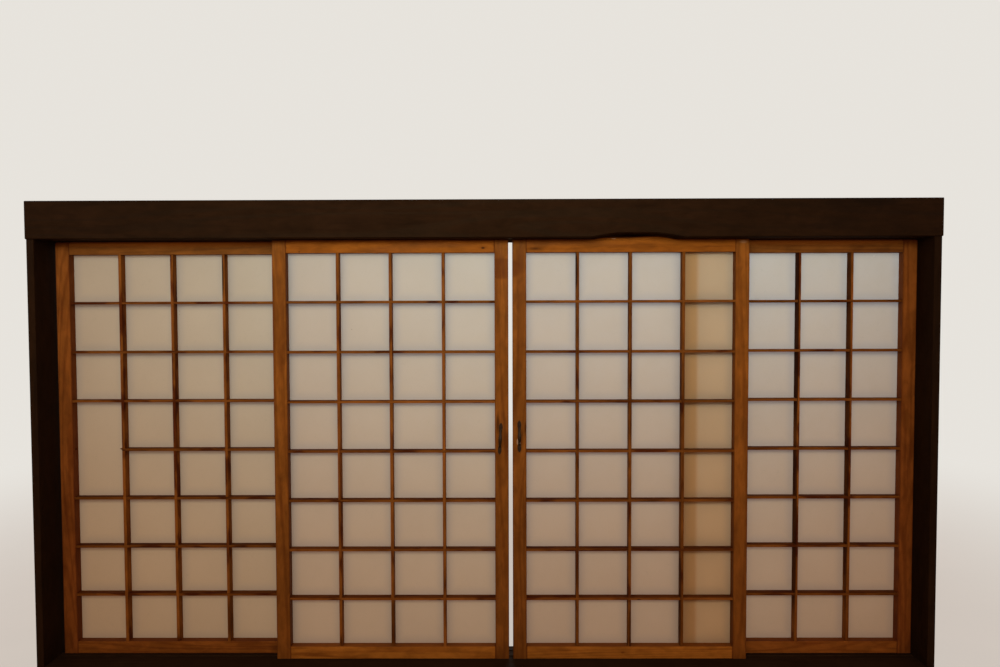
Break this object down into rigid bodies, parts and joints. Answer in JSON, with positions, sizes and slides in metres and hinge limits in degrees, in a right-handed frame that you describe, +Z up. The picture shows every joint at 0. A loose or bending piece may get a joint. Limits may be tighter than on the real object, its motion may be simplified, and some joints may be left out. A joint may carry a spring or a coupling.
{
  "type": "shoji sliding screen",
  "caption": "Sliding paper screen: wood lattice panels with tenoned frames run in the grooves of a heavy dark head beam and sill between slim jambs; bow handles at the meeting stiles.",
  "frame": {"origin": "middle of the sill's underside: centre of the bounding box in X and Y, lowest point in Z", "axes": "+X to the right along the screen as seen from the room, +Y from the room out through the screen, +Z up; the handles face -Y"},
  "size_m": [3.69, 0.156, 1.971],
  "materials": {
    "dark_timber": "satin",
    "panel_timber": "satin",
    "paper": "matt",
    "iron": "matt"
  },
  "bodies": {
    "frame": {"head_beam": "dark_timber", "sill": "dark_timber", "left_jamb": "dark_timber", "right_jamb": "dark_timber"},
    "rear_left_panel": {"rear_left_bottom_rail": "panel_timber", "rear_left_crossbar_1": "panel_timber", "rear_left_crossbar_2": "panel_timber", "rear_left_crossbar_3": "panel_timber", "rear_left_crossbar_4": "panel_timber", "rear_left_crossbar_5": "panel_timber", "rear_left_crossbar_6": "panel_timber", "rear_left_crossbar_7": "panel_timber", "rear_left_left_stile": "panel_timber", "rear_left_paper": "paper", "rear_left_right_stile": "panel_timber", "rear_left_top_rail": "panel_timber", "rear_left_vertical_bars": "panel_timber"},
    "front_left_panel": {"front_left_bottom_rail": "panel_timber", "front_left_crossbar_1": "panel_timber", "front_left_crossbar_2": "panel_timber", "front_left_crossbar_3": "panel_timber", "front_left_crossbar_4": "panel_timber", "front_left_crossbar_5": "panel_timber", "front_left_crossbar_6": "panel_timber", "front_left_crossbar_7": "panel_timber", "front_left_left_stile": "panel_timber", "front_left_paper": "paper", "front_left_pull": "iron", "front_left_pull_nails": "iron", "front_left_right_stile": "panel_timber", "front_left_top_rail": "panel_timber", "front_left_vertical_bars": "panel_timber"},
    "front_right_panel": {"front_right_bottom_rail": "panel_timber", "front_right_crossbar_1": "panel_timber", "front_right_crossbar_2": "panel_timber", "front_right_crossbar_3": "panel_timber", "front_right_crossbar_4": "panel_timber", "front_right_crossbar_5": "panel_timber", "front_right_crossbar_6": "panel_timber", "front_right_crossbar_7": "panel_timber", "front_right_left_stile": "panel_timber", "front_right_paper": "paper", "front_right_pull": "iron", "front_right_pull_nails": "iron", "front_right_right_stile": "panel_timber", "front_right_top_rail": "panel_timber", "front_right_vertical_bars": "panel_timber"},
    "rear_right_panel": {"rear_right_bottom_rail": "panel_timber", "rear_right_crossbar_1": "panel_timber", "rear_right_crossbar_2": "panel_timber", "rear_right_crossbar_3": "panel_timber", "rear_right_crossbar_4": "panel_timber", "rear_right_crossbar_5": "panel_timber", "rear_right_crossbar_6": "panel_timber", "rear_right_crossbar_7": "panel_timber", "rear_right_left_stile": "panel_timber", "rear_right_paper": "paper", "rear_right_right_stile": "panel_timber", "rear_right_top_rail": "panel_timber", "rear_right_vertical_bars": "panel_timber"}
  },
  "joints": [
    {"name": "rear_left_slide", "type": "slide", "parent": "frame", "child": "rear_left_panel", "axis": [1, 0, 0], "range_m": [-0.0132, 0.83]},
    {"name": "front_left_slide", "type": "slide", "parent": "frame", "child": "front_left_panel", "axis": [1, 0, 0], "range_m": [-0.941, 0.0083]},
    {"name": "front_right_slide", "type": "slide", "parent": "frame", "child": "front_right_panel", "axis": [1, 0, 0], "range_m": [-0.0083, 0.716]},
    {"name": "rear_right_slide", "type": "slide", "parent": "frame", "child": "rear_right_panel", "axis": [1, 0, 0], "range_m": [-0.83, 0]}
  ]
}
